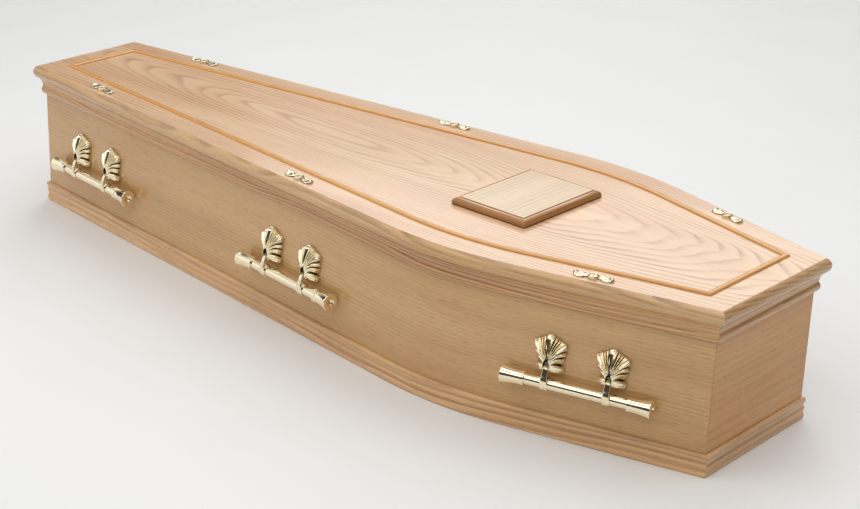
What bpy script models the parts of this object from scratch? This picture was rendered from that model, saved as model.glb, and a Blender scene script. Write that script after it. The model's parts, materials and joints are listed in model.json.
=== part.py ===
"""A shouldered wooden coffin with six swing-bar handles, in metres, +Z up.

The head end is at +X and the foot end at -X. The left side is at -Y. It stands
on Z = 0, and the origin is under the middle of it. Its plan is one side line,
drawn once and moved outwards or inwards for every board, moulding and strip.
"""

import math

import bmesh
import bpy
from mathutils import Matrix, Vector

# Clearance between pieces that touch
GAP = 0.0003
MITRE_CLEARANCE = 0.0005        # across the coffin, where an end panel meets a side

# Plan of the body, over the outside of the boards
BODY_LENGTH = 1.900
HEAD_WIDTH = 0.324
FOOT_WIDTH = 0.269
SHOULDER_WIDTH = 0.592          # where the two straight stretches would meet
SHOULDER_FROM_HEAD = 0.521
BEND_RADIUS = 0.790             # of the bent side board
BEND_STEPS = 10

# Boards
SIDE_HEIGHT = 0.3027
SIDE_THICKNESS = 0.016
BASE_THICKNESS = 0.018

# Lid, with a bullnose edge, and the half-round strips on it
LID_THICKNESS = 0.030
LID_OVERHANG = 0.022
BULLNOSE_DEPTH = 0.009          # of the arc, from its nose to its upper and lower edge
BULLNOSE_STEPS = 6
STRIP_WIDTH = 0.013
STRIP_HEIGHT = 0.0045
STRIP_INSET = 0.040             # from the body's outside to the strip's outer edge
STRIP_STEPS = 5

# Mouldings on the sides. Each profile runs up the outside, as shares of the
# moulding's depth and of its height.
TOP_MOULDING_HEIGHT = 0.0365
TOP_MOULDING_DEPTH = 0.012
TOP_MOULDING_PROFILE = (
    (0.45, 0.04),
    (0.67, 0.14),
    (0.74, 0.26),
    (0.64, 0.42),
    (0.43, 0.52),
    (0.53, 0.68),
    (0.70, 0.84),
    (1.00, 1.00),
)
BASE_MOULDING_HEIGHT = 0.045
BASE_MOULDING_DEPTH = 0.0072
BASE_MOULDING_PROFILE = (
    (0.60, 0.00),
    (0.97, 0.12),
    (0.97, 0.22),
    (0.72, 0.36),
    (0.92, 0.50),
    (0.70, 0.65),
    (1.00, 0.83),
    (0.92, 0.93),
    (0.50, 1.00),
)

# Nameplate block. Its edge's profile is shares of the edge's width, inwards
# from the block's widest place, and of the block's height.
PLATE_LENGTH = 0.183            # along the coffin
PLATE_WIDTH = 0.244             # across it
PLATE_BLOCK_HEIGHT = 0.014
PLATE_BLOCK_EDGE = 0.0125       # width of its rounded edge
PLATE_EDGE_PROFILE = (
    (0.18, 0.00),
    (0.00, 0.22),
    (0.00, 0.45),
    (0.12, 0.70),
    (0.40, 0.92),
    (0.70, 1.00),
)
PLATE_TOP_THICKNESS = 0.0012
PLATE_TOP_STEP = 0.0006
PLATE_CENTRE_FROM_HEAD = 0.561

# Lid fittings. Each level is a share of the leaf's outline, a share of the
# boss's, and a share of the height.
FITTING_LENGTH = 0.078
FITTING_WIDTH = 0.025
FITTING_BOSS_RADIUS = 0.009
FITTING_HEIGHT = 0.0105
FITTING_LEVELS = (
    (1.00, 0.00, 0.00),
    (0.97, 0.00, 0.16),
    (0.62, 0.00, 0.42),
    (0.10, 1.00, 0.55),
    (0.00, 0.75, 1.00),
)
FITTING_LOBES = 6
FITTING_LOBE_DEPTH = 0.12       # as a share of the half width
FITTING_POINTS = 12
FITTING_INSET = 0.007           # from the body's outside to the fitting's middle
FITTING_FROM_HEAD = 0.2345
FITTING_FROM_FOOT = 0.232
FITTING_MIDDLE_FROM_HEAD = 0.9565

# Handles: the hinge and the bar
HINGE_HEIGHT = 0.157
HINGE_DISTANCE = 0.0165         # of the pin from the board's face
BAR_HEIGHT = 0.117
BAR_DISTANCE = 0.021
BAR_LENGTH = 0.297
BAR_RADIUS = 0.011
BAR_SIDES = 12

# The bar's flared tips. The profile runs from the middle of the end face to
# the collar, as shares of the rim's radius and of the tip's length.
TIP_LENGTH = 0.047
TIP_RADIUS = 0.0182
TIP_PROFILE = (
    (0.00, 0.07),
    (0.18, 0.014),
    (0.55, 0.00),
    (0.93, 0.027),
    (1.00, 0.09),
    (0.84, 0.38),
)
TIP_COLLAR_RADIUS = 0.0143
TIP_COLLAR_LENGTH = 0.0125

# The arms. Each point of the path is a share of the way from the pin to the
# bar's middle, and a share of the bow outwards from that line.
ARM_SPACING = 0.1228
ARM_WIDTH_AT_PIN = 0.008
ARM_WIDTH_AT_BAR = 0.0135
ARM_THICKNESS = 0.005
ARM_BOW = 0.0107
ARM_PATH = (
    (0.00, 0.00),
    (0.02, 0.50),
    (0.10, 0.90),
    (0.28, 1.08),
    (0.55, 1.15),
    (0.80, 1.12),
    (0.92, 1.00),
)
RING_RADIUS = 0.0135
RING_WIDTH = 0.0155
PIN_RADIUS = 0.002
PIN_LENGTH = 0.0284
PIN_SIDES = 8
PIN_CLEARANCE = 0.00045
EYE_RADIUS = 0.0045
EYE_WIDTH = 0.0088

# The escutcheons. Each level is a share of the way from the scallop's outline
# to its slot, and a share of the rise from the rim's front to the shell's.
SHELL_FRONT = 0.0245            # from the board's face
SHELL_RIM = 0.003
SHELL_WALL = 0.0022
SHELL_LEVELS = (
    (0.02, 0.00),
    (0.48, 0.55),
    (1.00, 1.00),
)
SHELL_INSIDE_SHARE = 0.55       # of the inner face's middle level
SHELL_RIM_SHARE = 0.12          # of the inner face's foot, on the board
SLOT_WIDTH = 0.0130
SLOT_HEIGHT = 0.0225
SLOT_RISE = -0.0010             # of the slot's middle above the pin

# Places of the handles' middles along the side line
FOOT_HANDLE_FROM_FOOT = 0.218
MIDDLE_HANDLE_BEFORE_BEND = 0.3015
HEAD_HANDLE_AFTER_BEND = 0.143

LID_UNDERSIDE = SIDE_HEIGHT + GAP
LID_TOP = LID_UNDERSIDE + LID_THICKNESS

# Half of the scallop's outline beside its slot, from its top round to its
# bottom: places to the side of the pin and above it
SCALLOP_HALF = (
    (0.0070, 0.0520),
    (0.0165, 0.0485),
    (0.0273, 0.0427),
    (0.0324, 0.0324),
    (0.0294, 0.0200),
    (0.0309, 0.0092),
    (0.0273, -0.0047),
    (0.0258, -0.0178),
    (0.0160, -0.0220),
    (0.0077, -0.0135),
)


def side_line(offset):
    """The left side's line from foot to head, moved outwards by offset.

    Its ends move out with it, beyond the body's ends, which makes a mitre.
    """
    foot = Vector((-BODY_LENGTH / 2, -FOOT_WIDTH / 2))
    corner = Vector((BODY_LENGTH / 2 - SHOULDER_FROM_HEAD, -SHOULDER_WIDTH / 2))
    head = Vector((BODY_LENGTH / 2, -HEAD_WIDTH / 2))
    run_1 = (corner - foot).normalized()
    run_2 = (head - corner).normalized()
    out_1 = Vector((run_1.y, -run_1.x))
    out_2 = Vector((run_2.y, -run_2.x))
    turn = run_1.angle(run_2)
    tangent = BEND_RADIUS * math.tan(turn / 2)
    centre = corner - run_1 * tangent - out_1 * BEND_RADIUS

    start = foot + out_1 * offset
    start = start + run_1 * ((-BODY_LENGTH / 2 - offset - start.x) / run_1.x)
    end = head + out_2 * offset
    end = end + run_2 * ((BODY_LENGTH / 2 + offset - end.x) / run_2.x)

    line = [start]
    first_angle = math.atan2(out_1.y, out_1.x)
    for step in range(BEND_STEPS + 1):
        angle = first_angle + turn * step / BEND_STEPS
        reach = BEND_RADIUS + offset
        line.append(centre + Vector((math.cos(angle), math.sin(angle))) * reach)
    line.append(end)
    return line


def mirrored(line):
    """The same line on the right side, at +Y, still from foot to head."""
    return [Vector((point.x, -point.y)) for point in line]


def closed_plan(offset):
    """The whole plan as a loop: the left side to the head, and back."""
    left = side_line(offset)
    return left + list(reversed(mirrored(left)))


def runs():
    """Start, direction and outward normal of the left side's two straight runs.

    The first starts at the foot corner. The second starts where the bend ends.
    The last value is the length of the first run up to the bend.
    """
    line = side_line(0.0)
    foot_start = line[0]
    bend_start = line[1]
    bend_end = line[-2]
    run_1 = (bend_start - foot_start).normalized()
    run_2 = (line[-1] - bend_end).normalized()
    out_1 = Vector((run_1.y, -run_1.x))
    out_2 = Vector((run_2.y, -run_2.x))
    first_length = (bend_start - foot_start).length
    return (foot_start, run_1, out_1), (bend_end, run_2, out_2), first_length


def side_point(x, offset):
    """The point of the left side line at x, moved outwards, and its heading."""
    line = side_line(offset)
    for start, end in zip(line, line[1:]):
        if start.x <= x <= end.x:
            share = (x - start.x) / (end.x - start.x)
            heading = math.atan2(end.y - start.y, end.x - start.x)
            return start.lerp(end, share), heading
    return line[-1], 0.0


def material(name, color, roughness, metallic=0.0):
    """A plain Principled material."""
    made = bpy.data.materials.new(name)
    made.use_nodes = True
    shader = made.node_tree.nodes["Principled BSDF"]
    shader.inputs["Base Color"].default_value = (*color, 1.0)
    shader.inputs["Roughness"].default_value = roughness
    shader.inputs["Metallic"].default_value = metallic
    return made


def add_object(name, mesh, look, parent=None):
    """Puts a mesh into the coffin's collection under its node's name."""
    thing = bpy.data.objects.new(name, mesh)
    bpy.data.collections["wooden_coffin"].objects.link(thing)
    thing.parent = parent
    if look.name not in mesh.materials:
        mesh.materials.append(look)
    return thing


def mesh_from(bm, name, smooth_angle=None):
    """Finishes a bmesh as a mesh with its faces pointing out."""
    bmesh.ops.remove_doubles(bm, verts=bm.verts, dist=0.00001)
    bmesh.ops.recalc_face_normals(bm, faces=bm.faces)
    mesh = bpy.data.meshes.new(name)
    bm.to_mesh(mesh)
    bm.free()
    if smooth_angle is not None:
        mesh.shade_smooth()
        mesh.set_sharp_from_angle(angle=math.radians(smooth_angle))
    return mesh


def loft(name, sections, closed_path=False, smooth_angle=35):
    """Joins equal closed sections, each a list of points, into one solid.

    An open path gets a cap at each end. A closed one joins its last section
    to its first, like a ring.
    """
    bm = bmesh.new()
    rows = [[bm.verts.new(point) for point in section] for section in sections]
    pairs = list(zip(rows, rows[1:]))
    if closed_path:
        pairs.append((rows[-1], rows[0]))
    for row, following in pairs:
        count = len(row)
        for index in range(count):
            beside = (index + 1) % count
            bm.faces.new((row[index], row[beside], following[beside], following[index]))
    if not closed_path:
        bm.faces.new(rows[0])
        bm.faces.new(rows[-1])
    return mesh_from(bm, name, smooth_angle)


def slab(name, plan, bottom, top):
    """A flat board with the given plan."""
    lower = [Vector((point.x, point.y, bottom)) for point in plan]
    upper = [Vector((point.x, point.y, top)) for point in plan]
    return loft(name, [lower, upper], smooth_angle=20)


def side_length(name, profile, mirror):
    """A moulding along a side, mitred at both ends.

    The profile is a list of offsets from the side line and heights. The ends
    are drawn in by the clearance, so that the mitres don't touch.
    """
    lines = [side_line(offset) for offset, height in profile]
    if mirror:
        lines = [mirrored(line) for line in lines]
    last = BEND_STEPS + 2
    sections = []
    for station in range(last + 1):
        drawn_in = {0: GAP, last: -GAP}.get(station, 0.0)
        section = []
        for line, (offset, height) in zip(lines, profile):
            section.append(Vector((line[station].x + drawn_in, line[station].y, height)))
        sections.append(section)
    return loft(name, sections)


def end_length(name, profile, at_head):
    """A moulding across an end, mitred at both ends."""
    station = -1 if at_head else 0
    sections = []
    for side in (1, -1):
        section = []
        for offset, height in profile:
            corner = side_line(offset)[station]
            section.append(Vector((corner.x, corner.y * side, height)))
        sections.append(section)
    return loft(name, sections)


def add_four_lengths(stem, profile, look):
    """The four mitred lengths of one moulding, round the coffin."""
    for side, mirror in (("left", False), ("right", True)):
        add_object(f"{stem}_{side}", side_length(f"{stem}_{side}", profile, mirror), look)
    for end, at_head in (("head", True), ("foot", False)):
        add_object(f"{stem}_{end}", end_length(f"{stem}_{end}", profile, at_head), look)


def half_ellipse(middle, half_width, bottom, height, steps):
    """Offsets and heights of a half-round strip's section, flat side down."""
    points = []
    for step in range(steps + 1):
        angle = math.pi * step / steps
        points.append((middle + half_width * math.cos(angle), bottom + height * math.sin(angle)))
    return points


def add_body(board, end_grain):
    """The base, the two bent sides and the two end panels, mitred at the corners."""
    inner = -(SIDE_THICKNESS + GAP)
    add_object("base_board", slab("base_board", closed_plan(inner), 0.0, BASE_THICKNESS), end_grain)
    outside = side_line(0.0)
    inside = side_line(-SIDE_THICKNESS)
    plan = outside + list(reversed(inside))
    add_object("side_board_left", slab("side_board_left", plan, 0.0, SIDE_HEIGHT), board)
    plan = mirrored(plan)
    add_object("side_board_right", slab("side_board_right", plan, 0.0, SIDE_HEIGHT), board)
    clear = Vector((0.0, MITRE_CLEARANCE))
    for name, station in (("head_panel", -1), ("foot_panel", 0)):
        half = [outside[station] + clear, inside[station] + clear]
        plan = half + list(reversed(mirrored(half)))
        add_object(name, slab(name, plan, 0.0, SIDE_HEIGHT), board)


def moulding_profile(shares, depth, bottom, height):
    """Offsets and heights of a moulding's section, with its flat back."""
    front = [(depth * out, bottom + height * up) for out, up in shares]
    return [(GAP, bottom)] + front + [(GAP, bottom + height)]


def add_mouldings(look):
    """The beaded moulding under the lid and the fluted one at the bottom."""
    low = SIDE_HEIGHT - TOP_MOULDING_HEIGHT
    profile = moulding_profile(TOP_MOULDING_PROFILE, TOP_MOULDING_DEPTH, low, TOP_MOULDING_HEIGHT)
    add_four_lengths("top_moulding", profile, look)
    profile = moulding_profile(
        BASE_MOULDING_PROFILE, BASE_MOULDING_DEPTH, 0.0, BASE_MOULDING_HEIGHT
    )
    add_four_lengths("base_moulding", profile, look)


def add_lid(board, strip):
    """The lid board with its bullnose, and the half-round strips on it."""
    middle = (LID_UNDERSIDE + LID_TOP) / 2
    half = LID_THICKNESS / 2
    radius = (half**2 + BULLNOSE_DEPTH**2) / (2 * BULLNOSE_DEPTH)
    reach = math.asin(half / radius)
    rings = []
    for step in range(BULLNOSE_STEPS + 1):
        angle = reach * (2 * step / BULLNOSE_STEPS - 1)
        offset = LID_OVERHANG - radius * (1 - math.cos(angle))
        height = middle + radius * math.sin(angle)
        rings.append([Vector((point.x, point.y, height)) for point in closed_plan(offset)])
    add_object("lid_board", loft("lid_board", rings), board)
    strip_middle = -(STRIP_INSET + STRIP_WIDTH / 2)
    profile = half_ellipse(strip_middle, STRIP_WIDTH / 2, LID_TOP + GAP, STRIP_HEIGHT, STRIP_STEPS)
    add_four_lengths("lid_strip", profile, strip)


def add_nameplate(look):
    """The block with a rounded edge and a thin plate on top."""
    profile = [(PLATE_BLOCK_EDGE * inwards, PLATE_BLOCK_HEIGHT * up) for inwards, up in PLATE_EDGE_PROFILE]
    plate_inset = PLATE_BLOCK_EDGE + PLATE_TOP_STEP
    profile.append((plate_inset, PLATE_BLOCK_HEIGHT))
    profile.append((plate_inset, PLATE_BLOCK_HEIGHT + PLATE_TOP_THICKNESS))
    sections = []
    for inset, height in profile:
        half_length = PLATE_LENGTH / 2 - inset
        half_width = PLATE_WIDTH / 2 - inset
        corners = ((-1, -1), (1, -1), (1, 1), (-1, 1))
        sections.append([Vector((x * half_length, y * half_width, height)) for x, y in corners])
    plate = add_object("nameplate", loft("nameplate", sections, smooth_angle=40), look)
    plate.location = (BODY_LENGTH / 2 - PLATE_CENTRE_FROM_HEAD, 0.0, LID_TOP + GAP)


def fitting_mesh():
    """A long leafed casting with a round boss in its middle."""
    sections = []
    for leaf_share, boss_share, level in FITTING_LEVELS:
        section = []
        for index in range(FITTING_POINTS):
            angle = 2 * math.pi * index / FITTING_POINTS
            ray = Vector((math.cos(angle), math.sin(angle)))
            lobes = 1 - FITTING_LOBE_DEPTH * (1 - math.cos(FITTING_LOBES * angle))
            leaf = Vector((FITTING_LENGTH / 2 * ray.x, FITTING_WIDTH / 2 * ray.y * lobes))
            flat = leaf * leaf_share + ray * FITTING_BOSS_RADIUS * boss_share
            section.append(Vector((flat.x, flat.y, FITTING_HEIGHT * level)))
        sections.append(section)
    return loft("lid_fitting", sections, smooth_angle=50)


def add_fittings(look):
    """Three castings along each edge of the lid."""
    shared = fitting_mesh()
    places = (
        ("foot", -BODY_LENGTH / 2 + FITTING_FROM_FOOT),
        ("middle", BODY_LENGTH / 2 - FITTING_MIDDLE_FROM_HEAD),
        ("head", BODY_LENGTH / 2 - FITTING_FROM_HEAD),
    )
    for side, sign in (("left", 1), ("right", -1)):
        for place, x in places:
            point, heading = side_point(x, -FITTING_INSET)
            casting = add_object(f"lid_fitting_{side}_{place}", shared, look)
            casting.location = (point.x, point.y * sign, LID_TOP + GAP)
            casting.rotation_euler.z = heading * sign


def solid_mesh(target, tools, operations):
    """The mesh of a temporary object after its Booleans; removes them all."""
    for tool, operation in zip(tools, operations):
        change = target.modifiers.new("shape", "BOOLEAN")
        change.operation = operation
        change.object = tool
    bpy.context.view_layer.update()
    graph = bpy.context.evaluated_depsgraph_get()
    made = bpy.data.meshes.new_from_object(target.evaluated_get(graph))
    for thing in [target, *tools]:
        bpy.data.objects.remove(thing)
    made.shade_smooth()
    made.set_sharp_from_angle(angle=math.radians(40))
    return made


def temporary(mesh):
    """An object in the cutters' collection, to be joined or cut away."""
    thing = bpy.data.objects.new(mesh.name, mesh)
    bpy.data.collections["cutters"].objects.link(thing)
    thing.hide_render = True
    thing.display_type = "WIRE"
    return thing


def cylinder_along_x(name, radius, length, sides, centre):
    """A cylinder that lies along X, as a temporary object."""
    bm = bmesh.new()
    bmesh.ops.create_cone(
        bm, cap_ends=True, segments=sides, radius1=radius, radius2=radius, depth=length
    )
    turn = Matrix.Rotation(math.pi / 2, 4, "Y")
    bmesh.ops.transform(bm, matrix=Matrix.Translation(centre) @ turn, verts=bm.verts)
    return temporary(mesh_from(bm, name))


def scallop_outline():
    """The scallop's outline as a loop round the slot, from its top, clockwise."""
    left = [(-x, z) for x, z in reversed(SCALLOP_HALF)]
    return [Vector(point) for point in list(SCALLOP_HALF) + left]


def escutcheon_mesh():
    """A deep hollow scallop with a slot in front and a pin across inside.

    The origin is on the board's face at the pin's height, and -Y points out.
    """
    slot_middle = Vector((0.0, SLOT_RISE))
    rims = scallop_outline()
    slots = []
    for rim in rims:
        ray = (rim - slot_middle).normalized()
        across = ray.x / (SLOT_WIDTH / 2)
        up = ray.y / (SLOT_HEIGHT / 2)
        slots.append(slot_middle + ray / math.hypot(across, up))
    rise = SHELL_FRONT - SHELL_RIM
    outside = [(share, SHELL_RIM + rise * front) for share, front in SHELL_LEVELS]
    inside = [
        (1.00, SHELL_FRONT - SHELL_WALL),
        (SHELL_INSIDE_SHARE, SHELL_RIM + rise * SHELL_LEVELS[1][1] - SHELL_WALL),
        (SHELL_RIM_SHARE, GAP),
    ]
    loops = []
    for share, distance in [(0.0, GAP)] + outside + inside:
        loop = []
        for rim, slot in zip(rims, slots):
            point = rim.lerp(slot, share)
            loop.append(Vector((point.x, -distance, point.y)))
        loops.append(loop)
    shell = temporary(loft("shell", loops, closed_path=True))
    centre = Vector((0.0, -HINGE_DISTANCE, 0.0))
    pin = cylinder_along_x("pin", PIN_RADIUS, PIN_LENGTH, PIN_SIDES, centre)
    return solid_mesh(shell, [pin], ["UNION"])


def arm_mesh():
    """A curved strap from the pin's eye to the ring round the bar.

    The origin is on the pin's axis, -Y points out from the board.
    """
    out = BAR_DISTANCE - HINGE_DISTANCE
    down = HINGE_HEIGHT - BAR_HEIGHT
    path = [(out * share + ARM_BOW * bow, -down * share) for share, bow in ARM_PATH]
    half = ARM_THICKNESS / 2
    sections = []
    for index, (distance, height) in enumerate(path):
        before = path[max(index - 1, 0)]
        after = path[min(index + 1, len(path) - 1)]
        along = Vector((after[0] - before[0], after[1] - before[1])).normalized()
        across = Vector((-along.y, along.x)) * half
        width = ARM_WIDTH_AT_PIN
        if index > 2:
            width += (ARM_WIDTH_AT_BAR - ARM_WIDTH_AT_PIN) * (index - 2) / (len(path) - 3)
        section = []
        for side, face in ((-1, -1), (1, -1), (1, 1), (-1, 1)):
            place = Vector((distance, height)) + across * face
            section.append(Vector((side * width / 2, -place.x, place.y)))
        sections.append(section)
    strap = temporary(loft("strap", sections))
    bar_centre = Vector((0.0, -out, -down))
    pin_centre = Vector((0.0, 0.0, 0.0))
    ring = cylinder_along_x("ring", RING_RADIUS, RING_WIDTH, BAR_SIDES, bar_centre)
    eye = cylinder_along_x("eye", EYE_RADIUS, EYE_WIDTH, PIN_SIDES, pin_centre)
    bar_hole = cylinder_along_x(
        "bar_hole", BAR_RADIUS + GAP, ARM_WIDTH_AT_BAR * 2, BAR_SIDES, bar_centre
    )
    pin_hole = cylinder_along_x(
        "pin_hole", PIN_RADIUS + PIN_CLEARANCE, ARM_WIDTH_AT_PIN * 2, PIN_SIDES, pin_centre
    )
    tools = [ring, eye, bar_hole, pin_hole]
    return solid_mesh(strap, tools, ["UNION", "UNION", "DIFFERENCE", "DIFFERENCE"])


def bar_profile():
    """Radii and places of the turned bar, from one end to the other."""
    half = BAR_LENGTH / 2
    collar = half - TIP_LENGTH
    end = [(TIP_RADIUS * radius, half - TIP_LENGTH * place) for radius, place in TIP_PROFILE]
    end.append((TIP_COLLAR_RADIUS, collar + TIP_COLLAR_LENGTH))
    end.append((TIP_COLLAR_RADIUS, collar))
    end.append((BAR_RADIUS, collar))
    return end + [(radius, -place) for radius, place in reversed(end)]


def bar_object(name, look, parent):
    """A bar with two flared tips, turned about its own axis."""
    points = [Vector((radius, 0.0, place)) for radius, place in bar_profile()]
    mesh = bpy.data.meshes.new(name)
    edges = [(index, index + 1) for index in range(len(points) - 1)]
    mesh.from_pydata(points, edges, [])
    bar = add_object(name, mesh, look, parent)
    turning = bar.modifiers.new("turned", "SCREW")
    turning.steps = BAR_SIDES
    turning.render_steps = BAR_SIDES
    turning.use_merge_vertices = True
    turning.merge_threshold = 0.00005
    turning.use_smooth_shade = True
    bar.rotation_euler = (0.0, math.pi / 2, 0.0)
    bar.location = (0.0, -(BAR_DISTANCE - HINGE_DISTANCE), BAR_HEIGHT - HINGE_HEIGHT)
    return bar


def handle_places():
    """Name, place on the left side line, and outward normal of each handle."""
    first, second, first_length = runs()
    foot_start, run_1, out_1 = first
    bend_end, run_2, out_2 = second
    return (
        ("foot", foot_start + run_1 * FOOT_HANDLE_FROM_FOOT, out_1),
        ("middle", foot_start + run_1 * (first_length - MIDDLE_HANDLE_BEFORE_BEND), out_1),
        ("head", bend_end + run_2 * HEAD_HANDLE_AFTER_BEND, out_2),
    )


def add_handles(look):
    """Three handles on each side, each hung from two escutcheons."""
    shell = escutcheon_mesh()
    arm = arm_mesh()
    for side, sign in (("left", 1), ("right", -1)):
        for place, spot, out in handle_places():
            face = Vector((spot.x, spot.y * sign))
            normal = Vector((out.x, out.y * sign))
            turn = math.atan2(normal.x, -normal.y)
            hinge = bpy.data.objects.new(f"hinge_{side}_{place}", None)
            bpy.data.collections["wooden_coffin"].objects.link(hinge)
            axis_point = face + normal * HINGE_DISTANCE
            hinge.location = (axis_point.x, axis_point.y, HINGE_HEIGHT)
            hinge.rotation_euler.z = turn
            bar_object(f"handle_bar_{side}_{place}", look, hinge)
            for number, shift in ((1, -1), (2, 1)):
                number = number if sign == 1 else 3 - number
                along = shift * ARM_SPACING / 2
                strap = add_object(f"handle_arm_{side}_{place}_{number}", arm, look, hinge)
                strap.location.x = along
                plate = add_object(f"escutcheon_{side}_{place}_{number}", shell, look)
                spot_on_face = face + Vector((math.cos(turn), math.sin(turn))) * along
                plate.location = (spot_on_face.x, spot_on_face.y, HINGE_HEIGHT)
                plate.rotation_euler.z = turn


def build():
    """Clears the scene and makes the coffin."""
    for thing in list(bpy.data.objects):
        bpy.data.objects.remove(thing)
    for name in ("wooden_coffin", "cutters"):
        made = bpy.data.collections.new(name)
        bpy.context.scene.collection.children.link(made)
    side_oak = material("oak_veneer_side", (0.42, 0.26, 0.13), 0.35)
    lid_oak = material("oak_veneer_lid", (0.78, 0.58, 0.40), 0.35)
    moulding_oak = material("oak_moulding", (0.45, 0.22, 0.09), 0.35)
    strip_oak = material("oak_strip", (0.70, 0.38, 0.15), 0.35)
    brass = material("polished_brass", (0.80, 0.62, 0.28), 0.12, 1.0)
    add_body(side_oak, side_oak)
    add_mouldings(moulding_oak)
    add_lid(lid_oak, strip_oak)
    add_nameplate(lid_oak)
    add_fittings(brass)
    add_handles(brass)
    bpy.context.view_layer.update()


build()
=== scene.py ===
import json
import math

import bmesh
import bpy
from mathutils import Matrix, Vector


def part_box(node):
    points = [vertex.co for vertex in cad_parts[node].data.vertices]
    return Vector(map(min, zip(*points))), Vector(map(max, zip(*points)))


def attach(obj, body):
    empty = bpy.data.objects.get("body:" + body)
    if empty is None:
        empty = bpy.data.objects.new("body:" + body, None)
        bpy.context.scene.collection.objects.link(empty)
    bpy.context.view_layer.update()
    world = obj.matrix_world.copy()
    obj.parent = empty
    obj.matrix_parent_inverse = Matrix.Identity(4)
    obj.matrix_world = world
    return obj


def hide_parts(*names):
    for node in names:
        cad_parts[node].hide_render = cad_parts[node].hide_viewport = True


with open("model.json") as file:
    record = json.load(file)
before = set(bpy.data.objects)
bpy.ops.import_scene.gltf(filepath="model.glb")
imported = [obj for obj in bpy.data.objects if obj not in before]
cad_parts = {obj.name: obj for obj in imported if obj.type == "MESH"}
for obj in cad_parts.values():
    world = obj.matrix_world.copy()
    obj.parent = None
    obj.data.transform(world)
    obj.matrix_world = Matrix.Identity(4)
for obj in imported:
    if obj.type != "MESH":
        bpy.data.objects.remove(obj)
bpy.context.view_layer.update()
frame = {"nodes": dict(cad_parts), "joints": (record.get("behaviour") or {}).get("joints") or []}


# Side boards. Each is one veneered board, kerfed inside and bent round the
# shoulder, with straight-grained oak veneer and satin lacquer. Its ends are
# mitred to the end panels.
UP = Vector((0.0, 0.0, 1.0))
side_low, side_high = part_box("side_board_left")
BODY_LENGTH = side_high.x - side_low.x
SIDE_HEIGHT = side_high.z
SIDE_THICKNESS = 0.016
HEAD_WIDTH = 0.324
FOOT_WIDTH = 0.269
SHOULDER_WIDTH = 0.592
SHOULDER_FROM_HEAD = 0.521
BEND_RADIUS = 0.790
BEND_STEPS = 32
SPARE_LENGTH = 0.08
MITRE_JOINT = 0.0001

foot_corner = Vector((-BODY_LENGTH / 2, -FOOT_WIDTH / 2, 0.0))
shoulder = Vector((BODY_LENGTH / 2 - SHOULDER_FROM_HEAD, -SHOULDER_WIDTH / 2, 0.0))
head_corner = Vector((BODY_LENGTH / 2, -HEAD_WIDTH / 2, 0.0))
foot_run = (shoulder - foot_corner).normalized()
head_run = (head_corner - shoulder).normalized()
foot_out = foot_run.cross(UP)
head_out = head_run.cross(UP)
turn = foot_run.angle(head_run)
tangent = BEND_RADIUS * math.tan(turn / 2)
bend_start = shoulder - foot_run * tangent
bend_end = shoulder + head_run * tangent
bend_centre = bend_start - foot_out * BEND_RADIUS
foot_mitre = (foot_out - foot_run * (1 + foot_out.x) / foot_run.x).cross(UP).normalized()
head_mitre = (head_out + head_run * (1 - head_out.x) / head_run.x).cross(UP).normalized()
if foot_mitre.x > 0:
    foot_mitre = -foot_mitre
if head_mitre.x < 0:
    head_mitre = -head_mitre


def parts_of(geometry, kind):
    """The vertices, edges or faces among what a bmesh operator gives back."""
    return [part for part in geometry if isinstance(part, kind)]


def pulled(bm, edges, move):
    """Pulls a wire along a straight line and gives its new end."""
    made = bmesh.ops.extrude_edge_only(bm, edges=edges)["geom"]
    bmesh.ops.translate(bm, verts=parts_of(made, bmesh.types.BMVert), vec=move)
    return [edge for edge in parts_of(made, bmesh.types.BMEdge) if edge.is_boundary]


def sawn(bm, place, normal):
    """Saws off what lies beyond a plane, and closes the sawn end."""
    everything = bm.verts[:] + bm.edges[:] + bm.faces[:]
    cut = bmesh.ops.bisect_plane(
        bm, geom=everything, plane_co=place, plane_no=normal, clear_outer=True
    )["geom_cut"]
    bmesh.ops.edgeloop_fill(bm, edges=parts_of(cut, bmesh.types.BMEdge))


def section_wire(bm, section, place):
    """A closed wire from a section's (out, up) places."""
    corners = [bm.verts.new(place(out, up)) for out, up in section]
    return [bm.edges.new(pair) for pair in zip(corners, corners[1:] + corners[:1])]


def side_length_of(section):
    """A section run along the left side, round its bend, and mitred at both ends."""
    bm = bmesh.new()
    start = foot_corner - foot_run * SPARE_LENGTH
    edges = section_wire(bm, section, lambda out, up: start + foot_out * out + UP * up)
    edges = pulled(bm, edges, bend_start - start)
    wire = edges + list({corner for edge in edges for corner in edge.verts})
    spun = bmesh.ops.spin(
        bm, geom=wire, cent=bend_centre, axis=UP, dvec=(0, 0, 0), angle=turn, steps=BEND_STEPS
    )
    edges = parts_of(spun["geom_last"], bmesh.types.BMEdge)
    pulled(bm, edges, head_corner + head_run * SPARE_LENGTH - bend_end)
    sawn(bm, foot_corner - foot_mitre * MITRE_JOINT, foot_mitre)
    sawn(bm, head_corner - head_mitre * MITRE_JOINT, head_mitre)
    return bm


def other_side(bm):
    """A copy of a left length for the right side."""
    copy = bm.copy()
    bmesh.ops.scale(copy, vec=(1, -1, 1), verts=copy.verts)
    return copy


# The right side is cut from other stock, so that its grain isn't a mirror image
OTHER_STOCK = Vector((5.3, 0.0, 0.9))


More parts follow.
